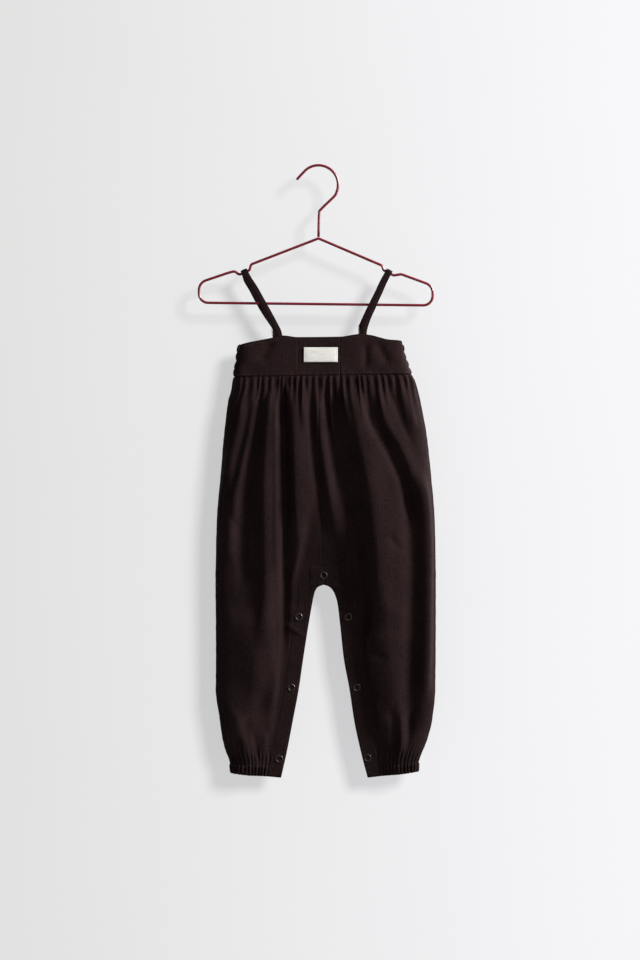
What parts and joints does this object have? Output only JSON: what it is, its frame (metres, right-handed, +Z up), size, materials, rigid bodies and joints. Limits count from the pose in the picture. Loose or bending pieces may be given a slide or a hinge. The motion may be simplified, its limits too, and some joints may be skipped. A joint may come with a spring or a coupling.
{
  "type": "corduroy romper on a wire hanger",
  "caption": "Sleeveless toddler's romper with straps, a gathered front, an elasticated back yoke, elasticated hems and snapped inner legs, hung flat on a child's wire hanger.",
  "frame": {"origin": "inside of the hanger's hook, at its top, where it sits on a rail", "axes": "+Z up along the hanging garment, +X to the right as seen from the front, the front faces -Y"},
  "size_m": [0.3063, 0.0504, 0.7903],
  "materials": {
    "needlecord": "dark brown fine corduroy, matt pile with a soft sheen",
    "woven_label": "off-white woven ribbon, bare",
    "snap_bronze": "dark bronze ring snap",
    "slider_steel": "bright nickelled wire",
    "wire_lacquer": "glossy dark crimson lacquer on steel wire"
  },
  "bodies": {
    "root": {"front_left": "needlecord", "front_right": "needlecord", "back_left": "needlecord", "back_right": "needlecord", "yoke_front_left": "needlecord", "yoke_front_centre": "needlecord", "yoke_front_right": "needlecord", "yoke_back": "needlecord", "strap_left": "needlecord", "strap_right": "needlecord", "label": "woven_label", "snap_crotch_front": "snap_bronze", "snap_crotch_back": "snap_bronze", "snap_left_1_front": "snap_bronze", "snap_left_1_back": "snap_bronze", "snap_left_2_front": "snap_bronze", "snap_left_2_back": "snap_bronze", "snap_left_3_front": "snap_bronze", "snap_left_3_back": "snap_bronze", "snap_right_1_front": "snap_bronze", "snap_right_1_back": "snap_bronze", "snap_right_2_front": "snap_bronze", "snap_right_2_back": "snap_bronze", "snap_right_3_front": "snap_bronze", "snap_right_3_back": "snap_bronze", "slider_left": "slider_steel", "slider_right": "slider_steel", "hanger_frame": "wire_lacquer", "hanger_hook": "wire_lacquer"}
  },
  "joints": []
}
